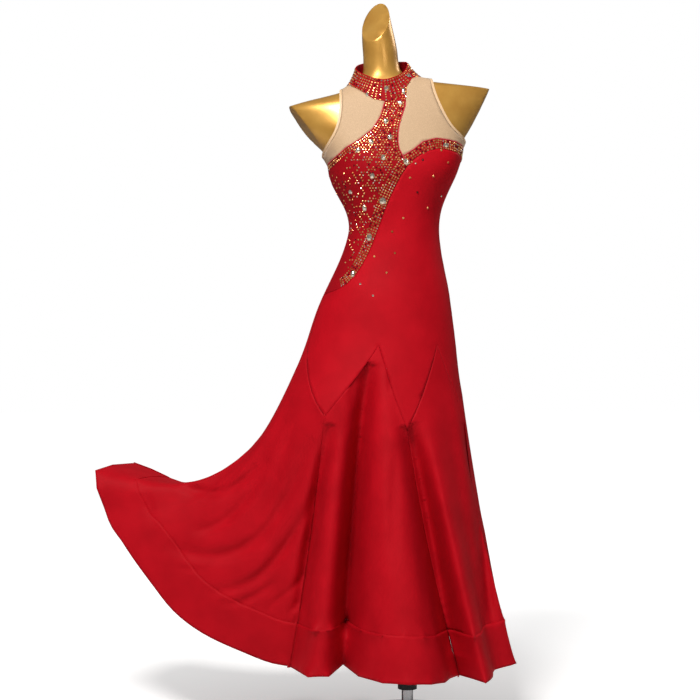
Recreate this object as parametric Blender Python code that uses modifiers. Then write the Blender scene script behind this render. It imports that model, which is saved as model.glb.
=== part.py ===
"""A ballroom dance dress with a high collar, worn by a limbless dress form on a pole stand.

The skirt is swept out and lifted at the wearer's right. +Z is up, the shown side faces -Y, and the
origin is the middle of the stand's underside. Tables are in millimetres, the model is in metres.
A place on the figure is (angle, height): the angle runs round from the front, positive towards +X.
"""

import math
from collections import namedtuple

import bmesh
import bpy
import numpy as np
from mathutils import Matrix, Vector
from mathutils.bvhtree import BVHTree
from mathutils.geometry import delaunay_2d_cdt

MM = 0.001
CLOTH_WALL = 1.6  # jersey and mesh
COLLAR_WALL = 2.4
CLEARANCE = 2.0  # between the form and the cloth's inner side
LIFT = CLEARANCE + CLOTH_WALL  # from the form to the cloth's outer side
SEAM_GAP = 0.3
BAND_HEIGHT = 98.0  # stiffened hem band
BAND_STEP = 1.0  # how far the stiff hem stands out from the skirt
HIP_FREE = (905.0, 955.0)  # the cloth leaves the form between these heights
SLACK, BUST_SLACK = 3.0, 3.0  # how much smaller the form is than the cloth was cut for, in all and below
SHOULDER_RIGHT, SHOULDER_LEFT = 1361.0, 1382.3  # tops of the armholes
UNDERARM_RIGHT, UNDERARM_LEFT = 1194.0, 1224.0  # the wearer's right and left
SASH_END = 912.0  # height where the jewelled panel ends at the side seam
PEAK = 803.0  # height of the skirt's points between the tongues

# ---------------------------------------------------------------- the figure

Section = namedtuple("Section", "z mid left right front back")

FORM_SECTIONS = [
    Section(662, -44, -180, 92, -88, 98),
    Section(700, -45, -188, 98, -96, 112),
    Section(763, -45, -194, 104, -102, 124),
    Section(836, -45, -192, 98, -106, 121),
    Section(880, -44, -186, 92, -103, 111),
    Section(924, -42, -175, 87, -97, 98),
    Section(968, -36, -154, 78, -89, 87),
    Section(1012, -31, -136, 70, -83, 81),
    Section(1060, -29, -125, 66, -81, 81),
    Section(1100, -30, -134, 71, -84, 87),
    Section(1133, -31, -152, 83, -87, 94),
    Section(1165, -31, -167, 97, -90, 100),
    Section(1199, -32, -174, 110, -91, 103),
    Section(1228, -34, -196, 116, -88, 104),
    Section(1269, -38, -244, 137, -80, 100),
    Section(1302, -42, -264, 155, -71, 92),
    Section(1327, -47, -262, 170, -62, 82),
    Section(1342, -50, -209, 178, -56, 75),
    Section(1357, -53, -147, 182, -51, 68),
    Section(1368, -55, -130, 172, -48, 62),
    Section(1379, -57, -116, 66, -46, 57),
    Section(1386, -58, -109, 20, -45, 54),
    Section(1397, -58, -101, -6, -43, 51),
    Section(1412, -58, -100, -15, -42, 48),
    Section(1440, -60, -99, -20, -41, 45),
    Section(1474, -64, -100, -28, -39, 41),
    Section(1518, -68, -99, -38, -36, 36),
    Section(1580, -72, -98, -50, -32, 30),
]
HIP_FLARE = [
    Section(560, -84, -324, 143, -168, 166),
    Section(616, -78, -302, 134, -158, 157),
    Section(653, -72, -287, 128, -150, 150),
    Section(691, -66, -273, 121, -141, 144),
    Section(726, -60, -256, 115, -133, 139),
    Section(763, -55, -240, 111, -125, 135),
    Section(801, -50, -225, 107, -117, 130),
    Section(836, -47, -214, 103, -112, 126),
    Section(873, -45, -202, 98, -108, 117),
    Section(924, -42, -180, 91, -102, 103),
    Section(968, -36, -158, 82, -93, 91),
]
Cut = namedtuple("Cut", "place normal")
FORM_CUTS = [  # slanted flat faces of the neck and the two arm stumps
    Cut((-70, -5, 1506), (-0.427, -0.704, 0.567)), Cut((-250, 0, 1312), (-0.80, -0.15, -0.57)),
    Cut((172, 0, 1348), (0.90, -0.10, -0.42)),
]
FORM_SIDES = 48
Cup = namedtuple("Cup", "angle z height wide above below")
CUPS = [Cup(-30, 1184, 22, 27, 62, 54), Cup(46, 1190, 22, 27, 60, 54)]

# ---------------------------------------------------------------- the cut, as the front view shows it

Spot = namedtuple("Spot", "x z")

MESH_EDGE_RIGHT = [  # jewelled panel's upper edge, from the collar to the wearer's right underarm
    Spot(-51, 1322), Spot(-58, 1301), Spot(-66, 1281), Spot(-80, 1262), Spot(-99, 1246),
    Spot(-122, 1233), Spot(-146, 1216), Spot(-163, 1204),
]
MESH_EDGE_LEFT = [  # its other edge, from the collar to the point of the sweetheart
    Spot(-4, 1331), Spot(-8, 1311), Spot(-15, 1291), Spot(-21, 1268), Spot(-23, 1246),
    Spot(-21, 1222), Spot(-13, 1206),
]
SWEETHEART = [Spot(-13, 1206), Spot(5, 1216), Spot(19, 1230), Spot(36, 1240), Spot(56, 1245),
              Spot(76, 1244), Spot(96, 1237)]
BAND_LINE = [Spot(-4, 1184), Spot(12, 1200), Spot(32, 1214), Spot(50, 1219), Spot(66, 1222),
             Spot(84, 1220), Spot(99, 1213)]
SASH_LINE = [  # the long curved seam, from under the sweetheart to the wearer's right hip
    Spot(-4, 1184), Spot(-21, 1158), Spot(-34, 1132), Spot(-46, 1105), Spot(-59, 1070),
    Spot(-72, 1034), Spot(-86, 1000), Spot(-104, 967), Spot(-126, 939), Spot(-156, 921),
]
ARMHOLE_RIGHT = [  # cut-in armhole from the shoulder to the underarm
    Spot(-141, 1359), Spot(-143, 1330), Spot(-143, 1309), Spot(-146, 1287), Spot(-153, 1263),
    Spot(-166, 1236), Spot(-178, 1216),
]
ARMHOLE_LEFT = [
    Spot(44, 1379), Spot(52, 1352), Spot(62, 1325), Spot(75, 1297), Spot(90, 1273),
    Spot(105, 1253), Spot(118, 1239),
]
Rim = namedtuple("Rim", "angle z")
COLLAR_TOP = [Rim(-180, 1432), Rim(-135, 1426), Rim(-90, 1410), Rim(-45, 1390), Rim(0, 1376),
              Rim(45, 1390), Rim(90, 1420), Rim(135, 1430), Rim(180, 1432)]
COLLAR_FOOT = Section(0, -53, -132, 29, -66, 58)  # plan of the line where the collar meets the yoke
COLLAR_MOUTH = Section(0, -57, -114, 0, -58, 58)  # plan of the collar's top edge
KEYHOLE = [Spot(1.2, 1386), Spot(9, 1366), Spot(24, 1330), Spot(32, 1290), Spot(28, 1250),
           Spot(14, 1213), Spot(1.2, 1190)]  # half the back opening, measured from the centre back
BACK_TOP = 1176.0  # height of the jersey at the centre back

# ---------------------------------------------------------------- the skirt's hang

POINTED_SEAM = {  # angle: height of each tongue's tip and of each point between two tongues
    -105: 650, -75: PEAK, -30: 652, -5: PEAK, 20: 626, 45: PEAK, 75: 640, 105: PEAK, 135: 640,
    165: PEAK, 195: 645, 225: PEAK, 255: 650,
}
Fold = namedtuple("Fold", "angle x y z")
HEM_FOLDS = [  # the hem's points in plan and their heights, round deep narrow valleys and broad crests
    Fold(-30, -256, -66, 110), Fold(-25, -214, -182, 112), Fold(-20, -170, -176, 112),
    Fold(-15, -141, -56, 112), Fold(-10, -108, -176, 112), Fold(-5, -60, -244, 113),
    Fold(0, -8, -264, 114), Fold(5, 40, -252, 112), Fold(10, 70, -208, 106), Fold(15, 84, -150, 102),
    Fold(20, 107, -106, 100), Fold(25, 132, -162, 104), Fold(30, 154, -222, 108),
    Fold(35, 172, -184, 110), Fold(40, 176, -132, 111), Fold(45, 182, -106, 111),
    Fold(50, 200, -92, 113), Fold(60, 232, -74, 118), Fold(75, 196, -8, 116),
    Fold(90, 232, 66, 116), Fold(105, 176, 100, 114), Fold(120, 200, 184, 114),
    Fold(135, 118, 176, 113), Fold(150, 112, 266, 112), Fold(165, 40, 214, 112),
    Fold(180, -6, 300, 112), Fold(195, -72, 232, 113),
]
BACK_HEM = [  # the lifted hem behind the sweep, from the last valley up to the corner
    Fold(195, -72, 232, 113), Fold(205, -128, 300, 122), Fold(215, -198, 250, 142),
    Fold(225, -286, 282, 190), Fold(235, -404, 236, 286), Fold(245, -520, 232, 410),
    Fold(255, -625, 200, 527),
]
FRONT_HEM = [  # the swept hem, from the lifted corner down to the first valley
    Fold(-105, -625, 200, 527), Fold(-100, -695, 60, 522), Fold(-95, -672, 40, 440),
    Fold(-84, -626, 18, 363), Fold(-72.5, -563, -8, 282), Fold(-61, -502, -34, 216),
    Fold(-51, -433, -52, 172), Fold(-42.5, -356, -60, 139), Fold(-36, -300, -64, 118),
    Fold(-30, -256, -66, 110),
]
Bend = namedtuple("Bend", "x y z")
SWEEP_RIDGE = [  # the upper edge of the sweep, from the hip to the lifted corner
    Bend(-282, 38, 650), Bend(-301, 45, 608), Bend(-324, 52, 566), Bend(-353, 65, 538),
    Bend(-394, 85, 510), Bend(-436, 105, 492), Bend(-471, 120, 486), Bend(-501, 135, 487),
    Bend(-535, 152, 496), Bend(-580, 175, 513), Bend(-625, 200, 527),
]
Swag = namedtuple("Swag", "across wide depth start full end")
SWAGS = [  # soft troughs of the sweep: place across the gore (0 at the ridge), then down it
    Swag(0.10, 0.060, 9, 0.15, 0.45, 0.84), Swag(0.27, 0.075, 8, 0.15, 0.45, 0.80),
    Swag(0.46, 0.085, 9, 0.12, 0.50, 0.86), Swag(0.66, 0.080, 10, 0.10, 0.45, 0.84),
    Swag(0.86, 0.060, 9, 0.30, 0.60, 0.90),
]
GORES = [  # name, first seam, last seam, columns
    ("train_front", -105, -30, 30), ("front", -30, 20, 10), ("left_front", 20, 75, 11),
    ("left_back", 75, 135, 12), ("back", 135, 195, 12), ("train_back", 195, 255, 12),
]
GORE_ROWS, BAND_ROWS = 10, 2
FINE_ROWS = 60  # rows that a gore is drawn in before it is cut into its few rows

# ---------------------------------------------------------------- the stand and the trimmings

FLOOR = -25.0  # height of the floor in the figure's own measure, which the tables above use
POLE_RADIUS, POLE_TOP = 12.5, 661.5
BUSH_RADIUS, BUSH_HEIGHT, BUSH_TOP, BUSH_EDGE = 21.0, 18.0, 66.0, 2.0
BUSH_GAP = 0.4  # between the pole and the locking bush round it
BASE_RADIUS, BASE_THICKNESS, BASE_EDGE = 160.0, 12.0, 4.0
BACK_HOLE_IN = 10.0  # how much further in the armhole runs at the back
BINDING_WIDTH, BINDING_LIFT = 5.5, 0.5
BUTTON_RADIUS = 6.0
COLLAR_HOLLOW = 2.0  # how far the collar curves in between its edges
Stone = namedtuple("Stone", "name x z long wide")
STONES = [
    Stone("collar_middle", -47, 1356, 13, 13), Stone("collar_right", -89, 1343, 12, 9),
    Stone("collar_left", -11, 1351, 17, 10), Stone("collar_side", 1, 1386, 10, 10),
    Stone("neck", -18, 1324, 12, 12), Stone("throat", -49, 1282, 13, 13),
    Stone("breastbone", -41, 1248, 13, 13), Stone("cup_upper", -81, 1237, 13, 13),
    Stone("cup_outer", -109, 1219, 13, 13), Stone("cup_inner", -55, 1203, 14, 12),
    Stone("sweetheart", -6, 1194, 15, 14), Stone("cup_left", 80, 1232, 12, 12),
    Stone("cup_middle", -79, 1162, 14, 12), Stone("cup_low", -125, 1132, 11, 10),
    Stone("rib", -95, 1097, 17, 10), Stone("sash_high", -56, 1110, 18, 15),
    Stone("waist", -85, 1035, 18, 14), Stone("hip", -120, 956, 16, 12),
]
STONE_THICKNESS = 3.0

COLOURS = {  # name: (linear red, green, blue), roughness, metallic
    "jersey": ((0.54, 0.009, 0.016), 0.55, 0.0), "mesh": ((0.62, 0.42, 0.27), 0.7, 0.0),
    "binding": ((0.85, 0.58, 0.36), 0.5, 0.0), "gold": ((0.56, 0.31, 0.09), 0.3, 0.6),
    "steel": ((0.5, 0.5, 0.5), 0.25, 1.0), "black": ((0.02, 0.02, 0.02), 0.5, 0.0),
    "crystal": ((0.8, 0.75, 0.7), 0.1, 0.0),
}

# ---------------------------------------------------------------- curves and surfaces


def smooth(at, keys, values):
    """A smooth curve through the points (keys, values), read at the places in at."""
    keys, values = np.asarray(keys, float), np.asarray(values, float)
    slopes = np.gradient(values, keys, axis=0)
    i = np.clip(np.searchsorted(keys, at) - 1, 0, len(keys) - 2)
    step = keys[i + 1] - keys[i]
    t = np.clip((at - keys[i]) / step, 0, 1)
    if values.ndim > 1:
        t, step = t[..., None], step[..., None]
    return (
        (1 + 2 * t) * (1 - t) ** 2 * values[i]
        + t * (1 - t) ** 2 * step * slopes[i]
        + t * t * (3 - 2 * t) * values[i + 1]
        + t * t * (t - 1) * step * slopes[i + 1]
    )


def column(rows, name):
    return [getattr(row, name) for row in rows]


def ease(t):
    """Goes smoothly from 0 at t = 0 to 1 at t = 1."""
    t = np.clip(t, 0, 1)
    return t * t * (3 - 2 * t)


def spaced(points, count):
    """A smooth line through points, read at count + 1 places that are evenly far apart."""
    points = np.asarray(points, float)
    keys = np.concatenate([[0], np.cumsum(np.linalg.norm(np.diff(points, axis=0), axis=1))])
    fine = smooth(np.linspace(0, keys[-1], 400), keys, points)
    run = np.concatenate([[0], np.cumsum(np.linalg.norm(np.diff(fine, axis=0), axis=1))])
    wanted = np.linspace(0, run[-1], count + 1)
    return np.stack([np.interp(wanted, run, fine[:, k]) for k in range(fine.shape[1])], axis=1)


def coons(left, right, top, bottom):
    """A grid of points between four edges. left and right run down, top and bottom across."""
    u = np.linspace(0, 1, len(top))[None, :, None]
    v = np.linspace(0, 1, len(left))[:, None, None]
    sides = (1 - u) * left[:, None] + u * right[:, None]
    ends = (1 - v) * top[None] + v * bottom[None]
    corners = (1 - v) * ((1 - u) * left[0] + u * right[0]) + v * ((1 - u) * left[-1] + u * right[-1])
    return sides + ends - corners


def section_point(rows, angle, z):
    """The point at (angle, z) on the surface through rows of sections, bust cups included."""
    angle, z = np.broadcast_arrays(np.asarray(angle, float), np.asarray(z, float))
    mid, left, right, front, back = (
        smooth(z, column(rows, "z"), column(rows, name)) for name in Section._fields[1:]
    )
    sine, cosine = np.sin(np.radians(angle)), np.cos(np.radians(angle))
    swell = np.zeros_like(z)
    for cup in CUPS:
        turn = (angle - cup.angle + 180) % 360 - 180
        rise = z - cup.z
        tall = np.where(rise > 0, cup.above, cup.below)
        swell = swell + cup.height * np.exp(-((turn / cup.wide) ** 2) - (rise / tall) ** 2)
    x = mid + np.where(sine > 0, right - mid, mid - left) * sine + swell * sine
    y = -np.where(cosine > 0, -front, back) * cosine - swell * cosine
    return np.stack([x, y, z], axis=-1)


def normal_at(surface, angle, z):
    """The outward direction of a surface at (angle, z)."""
    across = surface(angle + 0.5, z) - surface(angle - 0.5, z)
    upward = surface(angle, z + 1.0) - surface(angle, z - 1.0)
    normal = np.cross(across, upward)
    return normal / np.linalg.norm(normal, axis=-1, keepdims=True)


def form_point(angle, z):
    return section_point(FORM_SECTIONS, angle, z)


def form_normal(angle, z):
    return normal_at(form_point, np.asarray(angle, float), np.asarray(z, float))


def cloth_point(angle, z, lift=LIFT):
    """A point of the cloth's outer side: close on the form down to the hip, flared below it."""
    free = ease((HIP_FREE[1] - z) / (HIP_FREE[1] - HIP_FREE[0]))[..., None]
    close = form_point(angle, z) + lift * form_normal(angle, z)
    return close * (1 - free) + section_point(HIP_FLARE, angle, z) * free


def cloth_normal(angle, z):
    return normal_at(cloth_point, np.asarray(angle, float), np.asarray(z, float))


def angle_of(spots, back=False):
    """(angle, z) of places given as (x, z) in the front view, on the front or the back."""
    spots = np.asarray(spots, float)
    low, high = np.full(len(spots), -90.0), np.full(len(spots), 90.0)
    for _ in range(40):
        half = (low + high) / 2
        tried = 180 - half if back else half
        beyond = cloth_point(tried, spots[:, 1])[:, 0] > spots[:, 0]
        low, high = np.where(beyond, low, half), np.where(beyond, half, high)
    half = (low + high) / 2
    return np.stack([180 - half if back else half, spots[:, 1]], axis=1)


def side_seam_right(z):
    """Angle of the side seam on the wearer's right."""
    return np.interp(z, [PEAK, UNDERARM_RIGHT], [-75, -86])


def side_seam_left(z):
    return np.interp(z, [PEAK, UNDERARM_LEFT], [105, 97])


def zigzag(angle):
    """Height of the pointed seam between bodice and skirt."""
    turn = (np.asarray(angle, float) + 105) % 360 - 105
    return np.interp(turn, list(POINTED_SEAM), list(POINTED_SEAM.values()))


# ---------------------------------------------------------------- meshes


def grid_sheet(mesh, points):
    """Adds an open sheet to a bmesh from a grid of points, and returns its boundary edges."""
    rows, columns = points.shape[0], points.shape[1]
    made = bmesh.ops.create_grid(mesh, x_segments=columns - 1, y_segments=rows - 1, size=1)
    for vertex, place in zip(made["verts"], points.reshape(-1, 3)):
        vertex.co = Vector(place * MM)
    edges = {edge for vertex in made["verts"] for edge in vertex.link_edges}
    return [edge for edge in edges if edge.is_boundary]


def inward(line, beside):
    """Unit steps from a line of points towards the line beside it, square to the line."""
    along = np.gradient(line, axis=0)
    along /= np.maximum(np.linalg.norm(along, axis=1, keepdims=True), 1e-9)
    step = beside - line
    step = step - (step * along).sum(axis=1, keepdims=True) * along
    return step / np.maximum(np.linalg.norm(step, axis=1, keepdims=True), 1e-9)


def pulled_in(points):
    """The grid with each outer row and column moved in by half a seam gap."""
    moved = points.copy()
    for edge, inner in ((0, 1), (-1, -2)):
        moved[edge] += SEAM_GAP / 2 * inward(points[edge], points[inner])
        moved[:, edge] += SEAM_GAP / 2 * inward(points[:, edge], points[:, inner])
    return moved


def finish_mesh(mesh, name, colour):
    """Turns a bmesh into a named object with its plain material."""
    bmesh.ops.recalc_face_normals(mesh, faces=mesh.faces)
    data = bpy.data.meshes.new(name)
    mesh.to_mesh(data)
    mesh.free()
    piece = bpy.data.objects.new(name, data)
    DRESS.objects.link(piece)
    data.materials.append(plain_material(colour))
    return piece


def plain_material(name):
    material = bpy.data.materials.get(name)
    if material is None:
        material = bpy.data.materials.new(name)
        material.use_nodes = True
        shader = material.node_tree.nodes["Principled BSDF"]
        rgb, roughness, metallic = COLOURS[name]
        shader.inputs["Base Color"].default_value = (*rgb, 1)
        shader.inputs["Roughness"].default_value = roughness
        shader.inputs["Metallic"].default_value = metallic
    return material


def better_diagonal(corners):
    """0 to split a quad from its first corner, 1 from its second: the flatter fold, or the shorter."""
    a, b, c, d = corners
    folds = [(b - a).cross(c - a).dot((c - a).cross(d - a)), (c - b).cross(d - b).dot((d - b).cross(a - b))]
    if (folds[0] > 0) != (folds[1] > 0):
        return 0 if folds[0] > 0 else 1
    return 0 if (a - c).length < (b - d).length else 1


def wall(name, outer, normals, colour, thickness=CLOTH_WALL):
    """A closed cloth wall: an outer sheet, an inner one thickness behind it, and the rim between."""
    outer = pulled_in(outer)
    mesh = bmesh.new()
    rim = grid_sheet(mesh, outer) + grid_sheet(mesh, outer - thickness * normals)
    quads = list(mesh.faces)
    for front, behind in zip(quads[:len(quads) // 2], quads[len(quads) // 2:]):
        first = better_diagonal([corner.co for corner in front.verts])
        for quad in (front, behind):
            corners = list(quad.verts)
            bmesh.utils.face_split(quad, corners[first], corners[first + 2])
    bmesh.ops.bridge_loops(mesh, edges=rim)
    return finish_mesh(mesh, name, colour)


def panel(name, places, colour):
    """A cloth wall on the figure from a grid of (angle, z) places."""
    angle, z = places[..., 0], places[..., 1]
    wall(name, cloth_point(angle, z), cloth_normal(angle, z), colour)


def cut_panel(name, outline, flat, lift, spacing, colour):
    """A cloth wall cut to an outline of points, filled with evenly spread points inside it.

    flat holds the outline's points on a plane, and lift turns places on that plane into points.
    """
    count = len(flat)
    low, high = flat.min(axis=0), flat.max(axis=0)
    across, up = np.meshgrid(np.arange(low[0] + spacing / 2, high[0], spacing),
                             np.arange(low[1] + spacing / 2, high[1], spacing * 0.87))
    across[::2] += spacing / 2
    tried = np.stack([across.ravel(), up.ravel()], axis=1)
    following = np.roll(flat, -1, 0)
    run = following - flat
    to = tried[:, None] - flat[None]
    share = np.clip((to * run).sum(-1) / (run * run).sum(-1), 0, 1)
    near = np.linalg.norm(to - share[..., None] * run, axis=-1).min(axis=1)
    crosses = (flat[None, :, 1] > tried[:, None, 1]) != (following[None, :, 1] > tried[:, None, 1])
    rise = np.where(run[:, 1] == 0, 1, run[:, 1])
    side = tried[:, None, 0] < run[:, 0] * (tried[:, None, 1] - flat[:, 1]) / rise + flat[:, 0]
    inside = (crosses & side).sum(axis=1) % 2 == 1
    tried = tried[inside & (near > spacing * 0.45)]
    places = [Vector(p) for p in np.concatenate([flat, tried])]
    edges = [(i, (i + 1) % count) for i in range(count)]
    _, _, faces, _, _, _ = delaunay_2d_cdt(places, edges, [], 1, 1e-7)
    inner, out = lift(tried) if len(tried) else (np.zeros((0, 3)), np.zeros((0, 3)))
    points = np.concatenate([outline[0], inner])
    normals = np.concatenate([outline[1], out])
    along = np.roll(outline[0], -1, 0) - np.roll(outline[0], 1, 0)
    turn = np.sign((flat * (np.roll(flat, -1, 0) - np.roll(flat, 1, 0))[:, ::-1] * [1, -1]).sum())
    step = np.cross(outline[1], along) * turn
    step /= np.linalg.norm(step, axis=1, keepdims=True)
    ahead = np.roll(outline[0], -1, 0) - outline[0]
    ahead /= np.linalg.norm(ahead, axis=1, keepdims=True)
    lean = np.abs((step * ahead).sum(axis=1))
    points[:count] += step * (SEAM_GAP / 2 / np.maximum(np.sqrt(1 - lean ** 2), 0.35))[:, None]
    mesh = bmesh.new()
    sheets = [[mesh.verts.new(Vector(p * MM)) for p in points - depth * normals]
              for depth in (0, CLOTH_WALL)]
    for face in faces:
        for sheet, corners in zip(sheets, (face, face[::-1])):
            mesh.faces.new([sheet[i] for i in corners])
    for i, j in edges:
        mesh.faces.new((sheets[0][i], sheets[1][i], sheets[1][j], sheets[0][j]))
    return finish_mesh(mesh, name, colour)


def seam(rows, angles):
    """(angle, z) pairs down a side seam."""
    return np.stack([angles(rows), rows], axis=1)


# ---------------------------------------------------------------- bodice

SIDE_ROWS, SASH_ROWS, LOW_ROWS, CUT_ROWS = 8, 14, 4, 9
HOLE_STEPS = 13  # edges round each half of an armhole
CHEST_MIDDLE = np.array([-40.0, 0.0, 1250.0])
CHEST_HEIGHTS = (1150, 1402)  # the part of the figure that mesh and collar lie on
FILL_SPACING = 24.0  # about how far apart the points inside a filled panel are
ABOUT_MM = np.array([2.4, 1.0])  # turns (angle, z) into about a millimetre each way
NECK_FRONT, NECK_MIDDLE, NECK_BACK = 5, 10, 6  # columns round the collar's foot
NECK_RINGS = (-178.8, -90, 1, 37, 90, 178.8)  # angles round the collar where the pieces below it meet


def foot_places(first, last, count):
    """(angle, z) pairs along the collar's foot, between two angles of its own plan."""
    ring = np.linspace(first, last, count + 1)
    wanted = plan_point(COLLAR_FOOT, ring)
    back = np.abs((ring + 180) % 360 - 180) > 90
    low, high = np.full(len(ring), 1300.0), np.full(len(ring), 1396.0)
    for _ in range(30):
        z = (low + high) / 2
        spots = np.stack([wanted[:, 0], z], axis=1)
        places = np.where(back[:, None], angle_of(spots, True), angle_of(spots))
        depth = cloth_point(places[:, 0], z)[:, 1]
        outside = np.where(back, depth > wanted[:, 1], depth < wanted[:, 1])
        low, high = np.where(outside, z, low), np.where(outside, high, z)
    return places


def plan_point(plan, ring):
    """The (x, y) of a plan outline at an angle round it."""
    sine, cosine = np.sin(np.radians(ring)), np.cos(np.radians(ring))
    x = plan.mid + np.where(sine > 0, plan.right - plan.mid, plan.mid - plan.left) * sine
    return np.stack([x, -np.where(cosine > 0, -plan.front, plan.back) * cosine], axis=1)


def edges_of_the_cut():
    """The shared edges of the bodice's pieces, as (angle, z) pairs."""
    right = run_to_side(MESH_EDGE_RIGHT, side_seam_right(UNDERARM_RIGHT), UNDERARM_RIGHT, SIDE_ROWS)
    left = angle_of(spaced(MESH_EDGE_LEFT, SIDE_ROWS))
    neck = foot_places(*NECK_RINGS[2:4], NECK_MIDDLE)
    right[0], left[0] = neck[0], neck[-1]
    top = run_to_side(SWEETHEART, side_seam_left(UNDERARM_LEFT), UNDERARM_LEFT, CUT_ROWS)
    low = UNDERARM_LEFT - 24
    under = run_to_side(BAND_LINE, side_seam_left(low), low, CUT_ROWS)
    sash = angle_of(spaced(SASH_LINE, SASH_ROWS - 2))
    top[0], under[0] = left[-1], sash[0]
    return {"neck": neck, "mesh_right": right, "mesh_left": left, "sweetheart": top, "band": under,
            "sash": sash, "side_right": seam(np.linspace(UNDERARM_RIGHT, SASH_END, SASH_ROWS + 1),
                                             side_seam_right)}


def run_to_side(spots, side, end, count):
    """A line of the cut carried on round to a side seam, as (angle, z) pairs."""
    pairs = np.concatenate([angle_of(spots[:-1]), [[side, end]]])
    return spaced(pairs * ABOUT_MM, count) / ABOUT_MM


def make_bodice(cut):
    left = np.concatenate([cut["mesh_right"], cut["side_right"][1:]])
    joint = np.linspace(cut["mesh_left"][-1], cut["sash"][0], 3)[1:]
    right = np.concatenate([cut["mesh_left"], joint, cut["sash"][1:]])
    bottom = np.linspace(left[-1], right[-1], NECK_MIDDLE + 1)
    panel("bodice_jewelled_panel", coons(left, right, cut["neck"], bottom), "jersey")

    ends = [np.linspace(cut["sweetheart"][i], cut["band"][i], 3) for i in (0, -1)]
    panel("sweetheart_band", coons(*ends, cut["sweetheart"], cut["band"]), "jersey")

    low = seam(np.linspace(SASH_END, PEAK, LOW_ROWS + 1), side_seam_right)
    left = np.concatenate([cut["sash"], np.linspace(cut["sash"][-1], low[0], 3)[1:], low[1:]])
    right = seam(np.linspace(cut["band"][-1, 1], PEAK, len(left)), side_seam_left)
    angle = np.linspace(-75, 105, 4 * CUT_ROWS + 1)
    bottom = np.stack([angle, zigzag(angle)], axis=1)
    pairs = np.concatenate([left, bottom[1:], right[-2::-1], cut["band"][-2:0:-1]])
    outline = cloth_point(pairs[:, 0], pairs[:, 1]), cloth_normal(pairs[:, 0], pairs[:, 1])

    def lift(places):
        angle, z = (places / ABOUT_MM).T
        return cloth_point(angle, z), cloth_normal(angle, z)

    cut_panel("bodice_front", outline, pairs * ABOUT_MM, lift, FILL_SPACING, "jersey")

    rows = len(left)
    right_side = seam(np.linspace(UNDERARM_LEFT, PEAK, rows), side_seam_left)
    left_side = seam(np.linspace(UNDERARM_RIGHT, PEAK, rows), lambda z: side_seam_right(z) + 360)
    angle = np.linspace(105, 285, 2 * CUT_ROWS + 1)
    bottom = np.stack([angle, zigzag(angle)], axis=1)
    panel("bodice_back", coons(right_side, left_side, back_top_line(), bottom), "jersey")


def back_top_line():
    """The jersey's upper edge round the back, from the wearer's left underarm to the right one."""
    t = np.linspace(0, 1, 2 * CUT_ROWS + 1)
    angle = side_seam_left(UNDERARM_LEFT) * (1 - t) + (side_seam_right(UNDERARM_RIGHT) + 360) * t
    ends = UNDERARM_LEFT * (1 - t) + UNDERARM_RIGHT * t
    return np.stack([angle, ends - (ends - BACK_TOP) * np.sin(math.pi * t) ** 2], axis=1)


def figure_tree():
    """The surface the cloth lies on, above the waist, as a fine mesh to look places up on."""
    angle, z = np.meshgrid(np.arange(0, 363, 3.0), np.arange(*CHEST_HEIGHTS, 4.0))
    mesh = bmesh.new()
    made = bmesh.ops.create_grid(mesh, x_segments=angle.shape[1] - 1, y_segments=angle.shape[0] - 1, size=1)
    for vertex, place in zip(made["verts"], cloth_point(angle, z).reshape(-1, 3)):
        vertex.co = Vector(place * MM)
    mesh.normal_update()
    return BVHTree.FromBMesh(mesh)


def on_figure(points):
    """Points moved onto the surface the cloth lies on, and the outward directions there."""
    hits = [FIGURE.find_nearest(Vector(point) * MM) for point in points.reshape(-1, 3)]
    places = np.array([hit[0] for hit in hits]) / MM
    out = np.array([hit[1] for hit in hits])
    out *= np.sign((out * (places - CHEST_MIDDLE)).sum(axis=1))[:, None]
    return places.reshape(points.shape), out.reshape(points.shape)


def seen_from_inside(points):
    """Where points lie as seen from the middle of the chest: (longitude, latitude) in degrees."""
    x, y, z = (points - CHEST_MIDDLE).T
    longitude = np.degrees(np.arctan2(x, -y))
    return np.stack([longitude, np.degrees(np.arctan2(z, np.hypot(x, y)))], axis=1)


def mesh_panel(name, outline):
    """A mesh wall cut to an outline of points that lie on the figure."""
    flat = seen_from_inside(outline)
    if "back" in name:
        flat[:, 0] %= 360

    def lift(places):
        longitude, latitude = np.radians(places).T
        aim = np.stack([np.sin(longitude) * np.cos(latitude), -np.cos(longitude) * np.cos(latitude),
                        np.sin(latitude)], axis=1)
        hits = [FIGURE.ray_cast(Vector(CHEST_MIDDLE) * MM, Vector(way)) for way in aim]
        return on_figure(np.array([hit[0] for hit in hits]) / MM)

    cut_panel(name, (outline, on_figure(outline)[1]), flat, lift, 9.0, "mesh")


def armhole(spots, back, shoulder, end, count):
    """An armhole's edge as points: down from the shoulder, then round to the underarm."""
    pairs = angle_of([spot for spot in spots[1:] if spot.z > end[1] + 30], back)
    pairs = np.concatenate([[shoulder], pairs, [end]])
    points = cloth_point(pairs[:, 0], pairs[:, 1])
    line = on_figure(spaced(points, count))[0]
    line[0], line[-1] = points[0], points[-1]
    return line


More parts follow.
